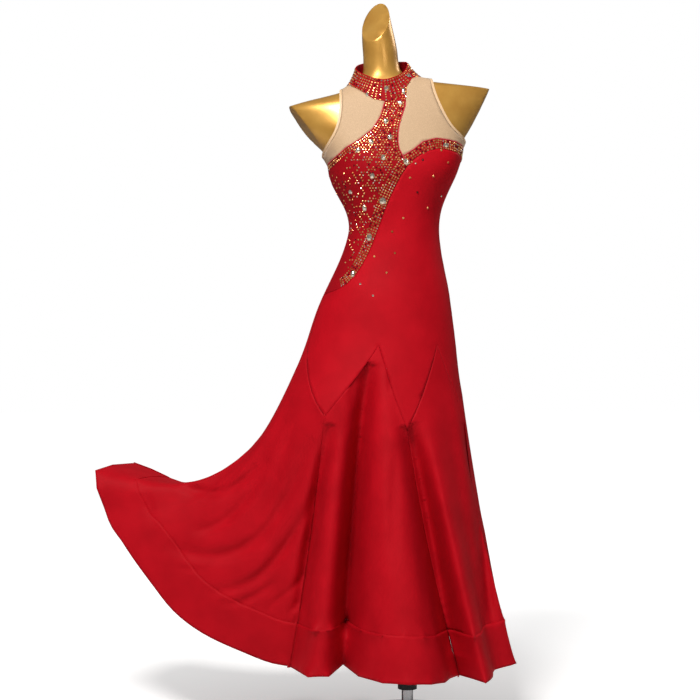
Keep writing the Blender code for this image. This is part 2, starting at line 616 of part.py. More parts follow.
def make_mesh_yokes(cut):
    """The skin-coloured mesh: two fronts and two backs, each from the collar to an armhole."""
    Side = namedtuple("Side", "name sign rings inner spots shoulder end")
    sides = [
        Side("right", -1, NECK_RINGS[1:3], cut["mesh_right"][1:], ARMHOLE_RIGHT, (-90, SHOULDER_RIGHT),
             (side_seam_right(UNDERARM_RIGHT), UNDERARM_RIGHT + 16)),
        Side("left", 1, NECK_RINGS[4:2:-1], np.concatenate([cut["mesh_left"][1:], cut["sweetheart"][1:]]),
             ARMHOLE_LEFT, (90, SHOULDER_LEFT), (side_seam_left(UNDERARM_LEFT), UNDERARM_LEFT + 14)),
    ]
    for side in sides:
        pairs = np.concatenate([foot_places(*side.rings, NECK_FRONT), side.inner])
        front = armhole(side.spots, False, side.shoulder, side.end, HOLE_STEPS)
        mesh_panel("mesh_front_" + side.name,
                   np.concatenate([cloth_point(pairs[:, 0], pairs[:, 1]), front[::-1]]))
        back = make_back_mesh(side, front)
        make_binding("armhole_binding_" + side.name, front, back)


def make_back_mesh(side, front):
    """One half of the mesh back, with half the teardrop. Returns its armhole edge."""
    keyhole = spaced(KEYHOLE, SIDE_ROWS)
    middle = cloth_point(np.full(len(keyhole), 180.0), keyhole[:, 1])[:, 0]
    edge = angle_of(np.stack([middle + side.sign * keyhole[:, 0], keyhole[:, 1]], axis=1), back=True)
    neck = foot_places(*(NECK_RINGS[1::-1] if side.sign < 0 else NECK_RINGS[4:6]), NECK_BACK)
    line = back_top_line()
    line = line[CUT_ROWS:][::-1] if side.sign < 0 else line[:CUT_ROWS + 1]
    share = np.linspace(0, 1, len(side.spots))
    spots = [Spot(spot.x - side.sign * BACK_HOLE_IN * math.sin(math.pi * t), spot.z)
             for spot, t in zip(side.spots, share)]
    hole = armhole(spots, True, side.shoulder, side.end, HOLE_STEPS)
    hole[0], hole[-1] = front[0], front[-1]
    rest = [cloth_point(pairs[:, 0], pairs[:, 1]) for pairs in (neck, edge[1:-1], line[::-1])]
    mesh_panel("mesh_back_" + side.name, np.concatenate([*rest, hole[::-1]]))
    return hole


def make_binding(name, front, back):
    """A flat elastic along the outside of the armhole's edge, as a closed ring."""
    edge = np.concatenate([front, back[-2:0:-1]])
    out = on_figure(edge)[1]
    for _ in range(2):
        out = out + np.roll(out, 1, 0) + np.roll(out, -1, 0)
    out /= np.linalg.norm(out, axis=1, keepdims=True)
    along = np.roll(edge, -1, 0) - np.roll(edge, 1, 0)
    step = np.cross(out, along)
    step /= np.linalg.norm(step, axis=1, keepdims=True)
    step *= np.sign(((edge.mean(axis=0) - edge) * step).sum())
    near, far = SEAM_GAP, SEAM_GAP + BINDING_WIDTH
    low, high = edge - out * CLOTH_WALL, edge + out * BINDING_LIFT
    mesh = bmesh.new()
    lay_ring(mesh, (low + step * near, high + step * near, high + step * far, low + step * far))
    finish_mesh(mesh, name, "binding")


def lay_ring(mesh, corners):
    """Joins several closed lines of points into one closed ring of quads."""
    rings = [[mesh.verts.new(Vector(p * MM)) for p in line] for line in corners]
    count = len(rings[0])
    for ring, following in zip(rings, rings[1:] + rings[:1]):
        for i in range(count):
            j = (i + 1) % count
            mesh.faces.new((ring[i], ring[j], following[j], following[i]))


def make_collar():
    """The standing collar, open at the nape, with its button."""
    counts = (NECK_BACK, NECK_FRONT, NECK_MIDDLE, NECK_FRONT, NECK_BACK)
    rings = np.concatenate([np.linspace(a, b, n + 1)[(1 if i else 0):] for i, (a, b, n)
                            in enumerate(zip(NECK_RINGS, NECK_RINGS[1:], counts))])
    foot = np.concatenate([foot_places(a, b, n)[(1 if i else 0):] for i, (a, b, n)
                           in enumerate(zip(NECK_RINGS, NECK_RINGS[1:], counts))])
    low = cloth_point(foot[:, 0], foot[:, 1])
    top = smooth(rings, column(COLLAR_TOP, "angle"), column(COLLAR_TOP, "z"))
    high = np.concatenate([plan_point(COLLAR_MOUTH, rings), top[:, None]], axis=1)
    t = np.linspace(0, 1, 5)[:, None, None]
    out = np.stack([np.sin(np.radians(rings)), -np.cos(np.radians(rings)), np.zeros(len(rings))], axis=1)
    outer = high * (1 - t) + low * t - COLLAR_HOLLOW * np.sin(math.pi * t) * out
    wall("collar", outer, np.broadcast_to(out, outer.shape), "jersey", COLLAR_WALL)
    make_button((outer[0, 0] + outer[0, -1]) / 2 + np.array([-5.0, 3.4, -12.0]))


def make_button(place):
    mesh = bmesh.new()
    bmesh.ops.create_uvsphere(mesh, u_segments=16, v_segments=8, radius=BUTTON_RADIUS * MM)
    bmesh.ops.scale(mesh, vec=(1, 0.45, 1), verts=mesh.verts)
    bmesh.ops.translate(mesh, vec=Vector(place * MM), verts=mesh.verts)
    finish_mesh(mesh, "nape_button", "jersey")


def grid_normals(points):
    """Outward directions of a grid that runs round the figure, top row first."""
    across, down = np.gradient(points, axis=1), np.gradient(points, axis=0)
    normal = np.cross(down, across)
    return normal / np.maximum(np.linalg.norm(normal, axis=-1, keepdims=True), 1e-9)


# ---------------------------------------------------------------- skirt


def hem_line(first, last, count):
    """Hem points from one seam to the next."""
    rows = {-105: FRONT_HEM, 195: BACK_HEM}.get(first, HEM_FOLDS)
    at = np.linspace(first, last, count + 1)
    keys = column(rows, "angle")
    return smooth(at, keys, [[row.x, row.y, row.z] for row in rows])


def seam_line(angle, rows):
    """A skirt seam from the tongue's tip to the hem."""
    if angle in (-105, 255):
        return spaced([[bend.x, bend.y, bend.z] for bend in SWEEP_RIDGE], rows)
    tip = cloth_point(np.array([float(angle)]), zigzag([float(angle)]))[0]
    foot = hem_line(angle, angle, 0)[0]
    t = np.linspace(0, 1, rows + 1)[:, None]
    across = 0.72 * t + 0.28 * t * t
    return np.concatenate([tip[:2] + (foot[:2] - tip[:2]) * across, tip[2] + (foot[2] - tip[2]) * t], axis=1)


def yoke_edge(first, last, count, read):
    """Read along the pointed seam, straight between the bodice's own points."""
    step = 180 / (2 * CUT_ROWS)
    keys = np.arange(first, last + 1.0, step / 2)
    keys = keys[((keys >= -75) & (keys <= 105)) | ((keys - 105) % step == 0)]
    values = read(keys, zigzag(keys))
    angle = np.linspace(first, last, count + 1)
    return np.stack([np.interp(angle, keys, values[:, k]) for k in range(3)], axis=1)


def gore_grid(first, last, count):
    """The hang of one gore: folds grow evenly from the pointed seam to the hem."""
    top = yoke_edge(first, last, count, cloth_point)
    bottom = hem_line(first, last, count)
    left, right = seam_line(first, FINE_ROWS), seam_line(last, FINE_ROWS)
    points = coons(left, right, top, bottom)
    if first == -105:
        points = add_swags(points)
    columns = []
    for line in points.transpose(1, 0, 2):
        run = np.concatenate([[0], np.cumsum(np.linalg.norm(np.diff(line, axis=0), axis=1))])
        cut = run[-1] - BAND_HEIGHT
        wanted = np.concatenate([np.linspace(0, cut, GORE_ROWS + 1),
                                 np.linspace(cut, run[-1], BAND_ROWS + 1)[1:]])
        columns.append(np.stack([np.interp(wanted, run, line[:, k]) for k in range(3)], axis=1))
    return np.stack(columns, axis=1)


def add_swags(points):
    """Presses the sweep's troughs into its front gore."""
    rows, columns = points.shape[:2]
    v, u = np.linspace(0, 1, rows)[:, None], np.linspace(0, 1, columns)[None]
    push = np.zeros((rows, columns))
    for swag in SWAGS:
        rise = ease((v - swag.start) / (swag.full - swag.start))
        fall = 1 - ease((v - swag.full) / (swag.end - swag.full))
        push = push + swag.depth * np.exp(-(((u - swag.across) / swag.wide) ** 2)) * rise * fall
    push = push * np.sin(math.pi * np.clip(u * 8, 0, 0.5)) * np.sin(math.pi * np.clip((1 - u) * 8, 0, 0.5))
    return points - push[..., None] * grid_normals(points)


def make_skirt():
    grids = [gore_grid(first, last, count) for _, first, last, count in GORES]
    whole = np.concatenate([grid if i == 0 else grid[:, 1:] for i, grid in enumerate(grids)], axis=1)
    wrapped = np.concatenate([whole[:, -2:-1], whole, whole[:, 1:2]], axis=1)
    normals = grid_normals(wrapped)[:, 1:-1]
    start = 0
    for (name, first, last, count), grid in zip(GORES, grids):
        out = normals[:, start:start + count + 1].copy()
        out[0] = yoke_edge(first, last, count, cloth_normal)
        start += count
        cut = GORE_ROWS + 1
        wall("skirt_" + name, grid[:cut], out[:cut], "jersey")
        wall("hem_band_" + name, grid[cut - 1:] + BAND_STEP * out[cut - 1:], out[cut - 1:], "jersey")


# ---------------------------------------------------------------- form, stand and stones


def make_form():
    heights = np.unique(np.concatenate([np.linspace(a.z, b.z, 3)
                                        for a, b in zip(FORM_SECTIONS, FORM_SECTIONS[1:])]))
    angle = np.linspace(0, 360, FORM_SIDES, endpoint=False)
    angle, heights = np.meshgrid(angle, heights)
    slack = SLACK * ease((1470 - heights) / 60) + BUST_SLACK * ease((1275 - heights) / 40)
    points = form_point(angle, heights) - slack[..., None] * form_normal(angle, heights)
    mesh = bmesh.new()
    rings = [[mesh.verts.new(Vector(p * MM)) for p in row] for row in points]
    for low, high in zip(rings, rings[1:]):
        for i in range(len(low)):
            j = (i + 1) % len(low)
            mesh.faces.new((low[i], low[j], high[j], high[i]))
    mesh.faces.new(rings[0])
    mesh.faces.new(rings[-1])
    for cut in FORM_CUTS:
        made = bmesh.ops.bisect_plane(mesh, geom=mesh.verts[:] + mesh.edges[:] + mesh.faces[:], dist=1e-6,
                                      plane_co=Vector(cut.place) * MM, plane_no=Vector(cut.normal),
                                      clear_outer=True)
        rim = [item for item in made["geom_cut"] if isinstance(item, bmesh.types.BMEdge)]
        bmesh.ops.holes_fill(mesh, edges=rim, sides=0)
    bmesh.ops.remove_doubles(mesh, verts=mesh.verts, dist=0.0001)
    finish_mesh(mesh, "form_torso", "gold")


def make_turned(name, profile, colour, steps=48):
    """A solid turned round the pole's axis. profile is (radius, z), top to bottom on the outer side."""
    data = bpy.data.meshes.new(name)
    closed = profile[0] == profile[-1]
    points = profile[:-1] if closed else profile
    edges = [(i, (i + 1) % len(points)) for i in range(len(profile) - 1)]
    data.from_pydata([(r * MM, 0, z * MM) for r, z in points], edges, [])
    piece = bpy.data.objects.new(name, data)
    DRESS.objects.link(piece)
    screw = piece.modifiers.new("Turn", "SCREW")
    screw.steps = screw.render_steps = steps
    screw.use_merge_vertices = True
    screw.merge_threshold = 0.0001
    data.materials.append(plain_material(colour))


def make_stand():
    top = FLOOR + BASE_THICKNESS
    make_turned("stand_base", [(0, top), (BASE_RADIUS - BASE_EDGE, top), (BASE_RADIUS, top - BASE_EDGE),
                               (BASE_RADIUS, FLOOR), (0, FLOOR)], "steel", 64)
    make_turned("stand_pole", [(0, POLE_TOP), (POLE_RADIUS, POLE_TOP), (POLE_RADIUS, top + SEAM_GAP),
                               (0, top + SEAM_GAP)], "steel")
    inner, bottom = POLE_RADIUS + BUSH_GAP, BUSH_TOP - BUSH_HEIGHT
    make_turned("stand_bush", [(inner, BUSH_TOP), (BUSH_RADIUS - BUSH_EDGE, BUSH_TOP),
                               (BUSH_RADIUS, BUSH_TOP - BUSH_EDGE), (BUSH_RADIUS, bottom),
                               (inner, bottom), (inner, BUSH_TOP)], "black")


def set_on_floor():
    """Moves everything up so that the base's underside is at height 0."""
    for piece in DRESS.objects:
        piece.data.transform(Matrix.Translation((0, 0, -FLOOR * MM)))


def cloth_tree():
    """All the cloth made so far, to look stones up on."""
    mesh = bmesh.new()
    for piece in DRESS.objects:
        if piece.data.materials[0].name in ("jersey", "mesh"):
            mesh.from_mesh(piece.data)
    mesh.normal_update()
    return BVHTree.FromBMesh(mesh)


def make_stone(stone, tree):
    """One faceted sew-on stone, its flat back just clear of the cloth under it."""
    place, out, _, _ = tree.ray_cast(Vector((stone.x, -400, stone.z)) * MM, Vector((0, 1, 0)))
    near = [tree.ray_cast(Vector((stone.x + dx, -400, stone.z + dz)) * MM, Vector((0, 1, 0)))
            for dx, dz in ((-5, 0), (5, 0), (0, -6), (0, 6))]
    out = sum((hit[1] for hit in near if hit[1]), out.copy()).normalized()
    turn = out.to_track_quat("Z", "Y").to_matrix().to_4x4()
    rise = 0.0
    for step in range(12):
        angle = math.tau * step / 12
        rim = turn @ Vector((math.cos(angle) * stone.wide / 2, math.sin(angle) * stone.long / 2, 0))
        hit = tree.ray_cast(place + rim * MM + out * 0.02, -out, 0.04)
        if hit[0]:
            rise = max(rise, (hit[0] - place).dot(out) / MM)
    mesh = bmesh.new()
    bmesh.ops.create_cone(mesh, cap_ends=True, segments=8, radius1=0.5 * MM, radius2=0.3 * MM,
                          depth=STONE_THICKNESS * MM)
    bmesh.ops.scale(mesh, vec=(stone.wide, stone.long, 1), verts=mesh.verts)
    move = Matrix.Translation(place + out * (rise + SEAM_GAP + STONE_THICKNESS / 2) * MM)
    bmesh.ops.transform(mesh, matrix=move @ turn, verts=mesh.verts)
    finish_mesh(mesh, "stone_" + stone.name, "crystal")


def clear_scene():
    for piece in list(bpy.data.objects):
        bpy.data.objects.remove(piece, do_unlink=True)


clear_scene()
DRESS = bpy.data.collections.new("ballroom_dance_dress")
bpy.context.scene.collection.children.link(DRESS)
FIGURE = figure_tree()
CUT = edges_of_the_cut()
make_bodice(CUT)
make_mesh_yokes(CUT)
make_collar()
make_skirt()
make_form()
make_stand()
CLOTH = cloth_tree()
for jewel in STONES:
    make_stone(jewel, CLOTH)
set_on_floor()
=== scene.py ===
# %% [markdown]
# # A ballroom dance dress on a gold dress form
#
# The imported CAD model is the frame: its panels fix where every seam, hem and fold lies. Each cell below
# makes one kind of piece on that frame: smooth cloth from the faceted panels, creases, crystals, and
# the form and its stand. Lengths are in metres unless a name says mm.

import math
import random

import bmesh
import bpy
import numpy as np
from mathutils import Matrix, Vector
from mathutils.bvhtree import BVHTree


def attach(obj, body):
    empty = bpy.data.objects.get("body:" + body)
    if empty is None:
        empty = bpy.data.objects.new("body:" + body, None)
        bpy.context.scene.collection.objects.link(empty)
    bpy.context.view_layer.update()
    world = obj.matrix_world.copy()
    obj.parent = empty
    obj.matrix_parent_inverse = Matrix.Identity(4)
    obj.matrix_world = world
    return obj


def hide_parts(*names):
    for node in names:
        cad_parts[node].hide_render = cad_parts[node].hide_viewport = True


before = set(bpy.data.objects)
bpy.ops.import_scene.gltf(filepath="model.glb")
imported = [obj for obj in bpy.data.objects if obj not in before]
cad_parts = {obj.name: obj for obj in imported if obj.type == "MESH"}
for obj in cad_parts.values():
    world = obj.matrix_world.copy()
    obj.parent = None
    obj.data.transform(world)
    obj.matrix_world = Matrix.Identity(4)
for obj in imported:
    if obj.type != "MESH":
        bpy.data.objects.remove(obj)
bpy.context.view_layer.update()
MM = 0.001
random.seed(7)
print("CAD nodes:", len(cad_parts))

# %% [markdown]
# ## Sizes
#
# The driving sizes of what this script adds. The CAD walls are thicker than real cloth, and the shells
# made here are about as thick as real jersey and mesh.

# %% Sizes
WALL_MM, COLLAR_WALL_MM = 1.6, 2.4  # the CAD walls
JERSEY_MM, HEM_MM, MESH_MM, COLLAR_MM = 0.7, 1.2, 0.5, 1.8  # the cloth made here
RISE = 25 * MM  # heights in the crease and single crystal tables start this far above the floor

SKIRTS = ["train_front", "front", "left_front", "left_back", "back", "train_back"]
RED_PANELS = ["bodice_front", "bodice_back", "bodice_jewelled_panel", "sweetheart_band"]
MESH_PANELS = ["mesh_front_right", "mesh_front_left", "mesh_back_right", "mesh_back_left"]
print("panels of cloth:", 2 * len(SKIRTS) + len(RED_PANELS) + len(MESH_PANELS) + 1)

# %% [markdown]
# ## Materials
#
# A knit hardly shines, lacquer and steel do, and a foiled crystal throws light back like a mirror. Such
# finishes could be photographed. Nodes are used because they stay sharp at any distance. One function
# adds a node, one turns a hex colour into linear light, and each material is its own short function.

# %% Material helpers
MIX_FROM, MIX_TO = 0.3, 0.7  # where a noise blends from one colour to the other
BAND_PERIOD = 0.31  # about how far apart a wave texture's bands are at a scale of 1
RIB_STRENGTH = 0.25


def rgb(code):
    """Linear colour from a hex sRGB code."""
    values = [int(code[i:i + 2], 16) / 255 for i in (1, 3, 5)]
    return [v / 12.92 if v <= 0.04045 else ((v + 0.055) / 1.055) ** 2.4 for v in values] + [1.0]


def fill(tree, node, **inputs):
    """Sets or links a node's inputs. A name with no such input is a property."""
    for name, value in inputs.items():
        socket = node.inputs.get(name.replace("_", " "))
        if socket is None:
            setattr(node, name, value)
        elif isinstance(value, bpy.types.NodeSocket):
            tree.links.new(value, socket)
        else:
            socket.default_value = value
    return node


def add(tree, kind, **inputs):
    """Adds a node and fills its inputs."""
    return fill(tree, tree.nodes.new(kind), **inputs)


def new_material(name):
    material = bpy.data.materials.new(name)
    material.use_nodes = True
    tree = material.node_tree
    tree.nodes.clear()
    shader = add(tree, "ShaderNodeBsdfPrincipled")
    add(tree, "ShaderNodeOutputMaterial", Surface=shader.outputs["BSDF"])
    return material, tree, shader


def place_mm(tree):
    """Object coordinates in millimetres."""
    place = add(tree, "ShaderNodeTexCoord").outputs["Object"]
    return add(tree, "ShaderNodeVectorMath", operation="SCALE", Vector=place, Scale=1000.0).outputs[0]


def noise(tree, place, size_mm, detail=3.0):
    return add(tree, "ShaderNodeTexNoise", Vector=place, Scale=1.0 / size_mm, Detail=detail).outputs["Fac"]


def mix(tree, share, low, high):
    """Blends two hex colours by a share."""
    ramp = add(tree, "ShaderNodeValToRGB", Fac=share)
    for element, place, code in zip(ramp.color_ramp.elements, (MIX_FROM, MIX_TO), (low, high)):
        element.position = place
        element.color = rgb(code)
    return ramp.outputs["Color"]


def bump(tree, height, strength, depth_mm):
    return add(tree, "ShaderNodeBump", Height=height, Strength=strength, Distance=depth_mm * MM).outputs[0]


def weave_bump(tree, place, pitch_mm, depth_mm):
    """The fine diagonal rib of a knit, as bump."""
    wave = add(tree, "ShaderNodeTexWave", wave_type="BANDS", bands_direction="DIAGONAL", Vector=place,
               Scale=BAND_PERIOD / pitch_mm, Distortion=1.5, Detail=1.0).outputs["Fac"]
    return bump(tree, wave, RIB_STRENGTH, depth_mm)


# %% Cloth, form and stone materials
def red_jersey(name, low, high):
    """Matt viscose jersey, deep red, a little uneven over each hand's breadth."""
    material, tree, shader = new_material(name)
    place = place_mm(tree)
    fill(tree, shader, Base_Color=mix(tree, noise(tree, place, 60.0), low, high), Roughness=0.62,
         Sheen_Weight=0.02, Sheen_Tint=rgb("#FF3A3A"), Specular_IOR_Level=0.08,
         Normal=weave_bump(tree, place, 0.6, 0.05))
    return material


def nude_mesh():
    """Fine stretch mesh, skin-coloured and almost opaque, with cells about a millimetre across."""
    material, tree, shader = new_material("Nude stretch mesh")
    cells = add(tree, "ShaderNodeTexVoronoi", Vector=place_mm(tree), Scale=0.9).outputs["Distance"]
    fill(tree, shader, Base_Color=mix(tree, cells, "#BC9A76", "#CEAC86"), Roughness=0.7, Sheen_Weight=0.2,
         Normal=bump(tree, cells, 0.3, 0.1))
    return material


def nude_elastic():
    """Ribbed binding elastic, a lighter nude."""
    material, tree, shader = new_material("Nude binding elastic")
    fill(tree, shader, Base_Color=rgb("#E3BE94"), Roughness=0.5,
         Normal=weave_bump(tree, place_mm(tree), 0.8, 0.08))
    return material


def gold_paint():
    """Glossy gold lacquer of the form, a little uneven."""
    material, tree, shader = new_material("Gold lacquer")
    place = place_mm(tree)
    fill(tree, shader, Base_Color=mix(tree, noise(tree, place, 45.0), "#CC9440", "#DCA64E"), Metallic=0.5,
         Roughness=0.34, Coat_Weight=0.25, Coat_Roughness=0.2,
         Normal=bump(tree, noise(tree, place, 25.0), 0.06, 0.6))
    return material


def plain(name, code, roughness, metallic=0.0, coat=0.0):
    """A material of one colour."""
    material, tree, shader = new_material(name)
    fill(tree, shader, Base_Color=rgb(code), Roughness=roughness, Metallic=metallic, Coat_Weight=coat)
    return material


JERSEY = red_jersey("Red viscose jersey", "#AE0716", "#BC0A1A")
# Painted shade: the jersey under the crystals is a darker red that stands in for the shade falling between
# the stones.
SHADE_DARKENED_JERSEY = red_jersey("Red jersey darkened for painted shade under crystals", "#980714", "#A60A17")
NUDE, ELASTIC, GOLD = nude_mesh(), nude_elastic(), gold_paint()
CHROME = plain("Polished steel", "#B9BABC", 0.18, 1.0)
BLACK = plain("Black nylon", "#151515", 0.45)
CRYSTAL = plain("Foiled clear crystal", "#F2E4CE", 0.10, 0.9, 0.6)
AMBER = plain("Foiled gold crystal", "#DDAA6C", 0.3, 0.75, 0.3)
BRONZE = plain("Foiled bronze crystal", "#B8743E", 0.3, 0.75, 0.3)
SIAM = plain("Foiled dark red crystal", "#5E0A10", 0.12, 0.5, 0.5)
EDGING = plain("Folded jersey edge over mesh", "#C9414A", 0.6)
print("materials:", len(bpy.data.materials))

# %% [markdown]
# ## The outer sheet of a panel
#
# A CAD panel is a closed wall with an outer sheet, an inner sheet and a narrow rim. The cloth could be
# drawn anew beside it, but it would then miss the seams. Taking away the rim's short edges parts the
# two sheets instead, and the one that faces away from the body is kept.

# %% The outer sheet of a panel
RIM_SLACK_MM = 0.12  # a rim edge is as long as the wall is thick, or longer by up to this
SCRAP_FACES = 5  # an island of no more faces than this is a leftover of the rim
BODY_AXIS = Vector((-0.04, 0.0, 0.0))


def merged_copy(node):
    """A bmesh of a CAD node with its loose triangles joined up."""
    mesh = bmesh.new()
    mesh.from_mesh(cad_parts[node].data)
    bmesh.ops.remove_doubles(mesh, verts=mesh.verts, dist=1e-5)
    return mesh


def facing(node, place):
    """Which way is outwards from the body, at a place on a node."""
    if "train_front" in node:
        return Vector((0, -1, 0))
    if "train_back" in node:
        return Vector((0, 1, 0))
    return Vector((place.x - BODY_AXIS.x, place.y, 0))


def outwardness(node, island):
    """How far a sheet faces away from the body, summed over its area."""
    return sum(f.normal.dot(facing(node, f.calc_center_median())) * f.calc_area() for f in island)


def islands_of(mesh):
    """The mesh's separate sheets, each a list of faces."""
    islands, left = [], set(mesh.faces)
    while left:
        seed = left.pop()
        island, queue = [seed], [seed]
        while queue:
            for edge in queue.pop().edges:
                for other in [face for face in edge.link_faces if face in left]:
                    left.remove(other)
                    island.append(other)
                    queue.append(other)
        islands.append(island)
    return islands


def outer_skin(node, wall_mm):
    """The outer sheet of a CAD wall."""
    mesh = merged_copy(node)
    rim = [edge for edge in mesh.edges if edge.calc_length() < (wall_mm + RIM_SLACK_MM) * MM]
    bmesh.ops.delete(mesh, geom=rim, context="EDGES")
    bmesh.ops.delete(mesh, geom=[v for v in mesh.verts if not v.link_faces], context="VERTS")
    islands = [island for island in islands_of(mesh) if len(island) > SCRAP_FACES]
    kept = set(max(islands, key=lambda island: outwardness(node, island)))
    bmesh.ops.delete(mesh, geom=[face for face in mesh.faces if face not in kept], context="FACES")
    return mesh


# %% [markdown]
# ## From a sheet to a piece of cloth
#
# The sheet is faceted, and real cloth curves. Its triangles are joined to quads and subdivided, which
# rounds it and keeps its corners. It then gets a real cloth's thickness, inwards, so the outside stays
# where the CAD puts it.

# %% Making a piece of cloth
GRID_FACE_ANGLE, GRID_SHAPE_ANGLE = 0.8, 1.2  # radians: how uneven a pair of triangles may be to join
CORNERS_ABOVE = 0.60  # above this height a sheet's edge isn't rounded off
SHEETS = {}


def to_object(mesh, name, material):
    data = bpy.data.meshes.new(name)
    mesh.to_mesh(data)
    mesh.free()
    data.materials.append(material)
    data.shade_smooth()
    piece = bpy.data.objects.new(name, data)
    bpy.context.scene.collection.objects.link(piece)
    return piece


def apply_modifiers(piece):
    """Makes the modifiers' result the piece's own mesh."""
    graph = bpy.context.evaluated_depsgraph_get()
    done = bpy.data.meshes.new_from_object(piece.evaluated_get(graph))
    piece.modifiers.clear()
    piece.data = done


def thicken(piece, thickness):
    solid = piece.modifiers.new("Thickness", "SOLIDIFY")
    solid.thickness = thickness
    solid.offset = -1.0
    apply_modifiers(piece)


def cloth(node, material, wall_mm, thin_mm, levels, press=None):
    """Makes the cloth that stands for one CAD panel, and keeps its sheet before thickening."""
    mesh = outer_skin(node, wall_mm)
    bmesh.ops.join_triangles(mesh, faces=mesh.faces, angle_face_threshold=GRID_FACE_ANGLE,
                             angle_shape_threshold=GRID_SHAPE_ANGLE)
    crease = mesh.edges.layers.float.new("crease_edge")
    for edge in mesh.edges:
        if edge.is_boundary and min(v.co.z for v in edge.verts) > CORNERS_ABOVE:
            edge[crease] = 1.0
    piece = to_object(mesh, node + "_cloth", material)
    smooth = piece.modifiers.new("Smooth", "SUBSURF")
    smooth.levels = smooth.render_levels = levels
    smooth.boundary_smooth = "PRESERVE_CORNERS"
    apply_modifiers(piece)
    if press:
        press(piece.data)
    SHEETS[node] = piece.data.copy()
    if node.startswith(("skirt_", "hem_band_")):
        tuck_behind(piece.data, lap_list(node))
    thicken(piece, thin_mm * MM)
    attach(piece, "root")
    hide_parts(node)
    declare_cut(node, SHEETS[node])


# %% [markdown]
# ## The size of the cut
#
# A maker cuts each piece flat. Its flat size could be found by unrolling it. Here it is measured on the
# finished sheet, folds and all: its area, its longest straight extent, and its greatest width.

# %% The size of the cut
SLICES = 12
CUTS = []


def declare_cut(node, sheet):
    """States a flat size measured on the sheet itself: area, length and greatest width.

    The length is straight, not along the folds. The width is a slice's area over the slice's length, so
    it follows the folds, and it comes out too wide where the sheet slopes away from that length.
    """
    middles = np.array([face.center for face in sheet.polygons])
    areas = np.array([face.area for face in sheet.polygons])
    places = np.array([v.co for v in sheet.vertices])
    way = np.linalg.svd(places - places.mean(axis=0), full_matrices=False)[2][0]
    along = places @ way
    length, area = float(np.ptp(along)), float(areas.sum())
    slices = np.histogram(middles @ way, bins=SLICES, range=(along.min(), along.max()), weights=areas)[0]
    width = float(slices.max()) / (length / SLICES)
    CUTS.append((node, width, length, area))


# %% [markdown]
# ## Seams that close
#
# Sewn cloth has a seam allowance, turned in behind the seam. Without it, light shows through the narrow
# gap between two pieces. Each skirt piece's edge is carried a few millimetres on, behind its neighbour.

# %% Laps behind the seams
LAP_REACH, LAP_WIDTH, LAP_DEPTH = 5 * MM, 4 * MM, 1.3 * MM  # how near a neighbour is, and the lap's size


def surface_tree(mesh):
    """A tree for finding places on a bmesh, which it frees."""
    mesh.normal_update()
    tree = BVHTree.FromBMesh(mesh)
    mesh.free()
    return tree


def tuck_behind(data, neighbours):
    """Carries a sheet's edge a little way on, behind the pieces it is sewn to."""
    trees = [surface_tree(merged_copy(node)) for node in neighbours]
    mesh = bmesh.new()
    mesh.from_mesh(data)
    mesh.normal_update()

    def sewn(edge):
        return any(all(tree.find_nearest(v.co)[3] < LAP_REACH for v in edge.verts) for tree in trees)

    edges = [edge for edge in mesh.edges if edge.is_boundary and sewn(edge)]
    onward = {}
    for edge in edges:
        across = (edge.verts[0].co + edge.verts[1].co) / 2 - edge.link_faces[0].calc_center_median()
        for vertex in edge.verts:
            key = vertex.co.to_tuple(6)
            onward[key] = onward.get(key, Vector()) + across.normalized()
    normals = {v.co.to_tuple(6): v.normal.copy() for edge in edges for v in edge.verts}
    made = bmesh.ops.extrude_edge_only(mesh, edges=edges)["geom"]
    for vertex in [item for item in made if isinstance(item, bmesh.types.BMVert)]:
        key = vertex.co.to_tuple(6)
        vertex.co += onward[key].normalized() * LAP_WIDTH - normals[key] * LAP_DEPTH
    mesh.to_mesh(data)
    mesh.free()


def lap_list(node):
    """The pieces that a skirt panel laps behind: the next panel round, and a gore's own band."""
    kind = "skirt_" if node.startswith("skirt_") else "hem_band_"
    name = node[len(kind):]
    following = kind + SKIRTS[(SKIRTS.index(name) + 1) % len(SKIRTS)]
    return [following] + (["hem_band_" + name] if kind == "skirt_" else [])


# %% [markdown]
# ## Creases
#
# Soft troughs lie across the sweep, where its cloth is drawn up, and folds run down the gores from the
# seam. They could be simulated, but then they would fall anywhere. Each row of the table is one crease
# seen from the front: its path, its width, where it is a third as deep, and its depth. It is pressed
# straight back, so both sides of a seam move alike and the seam stays shut.

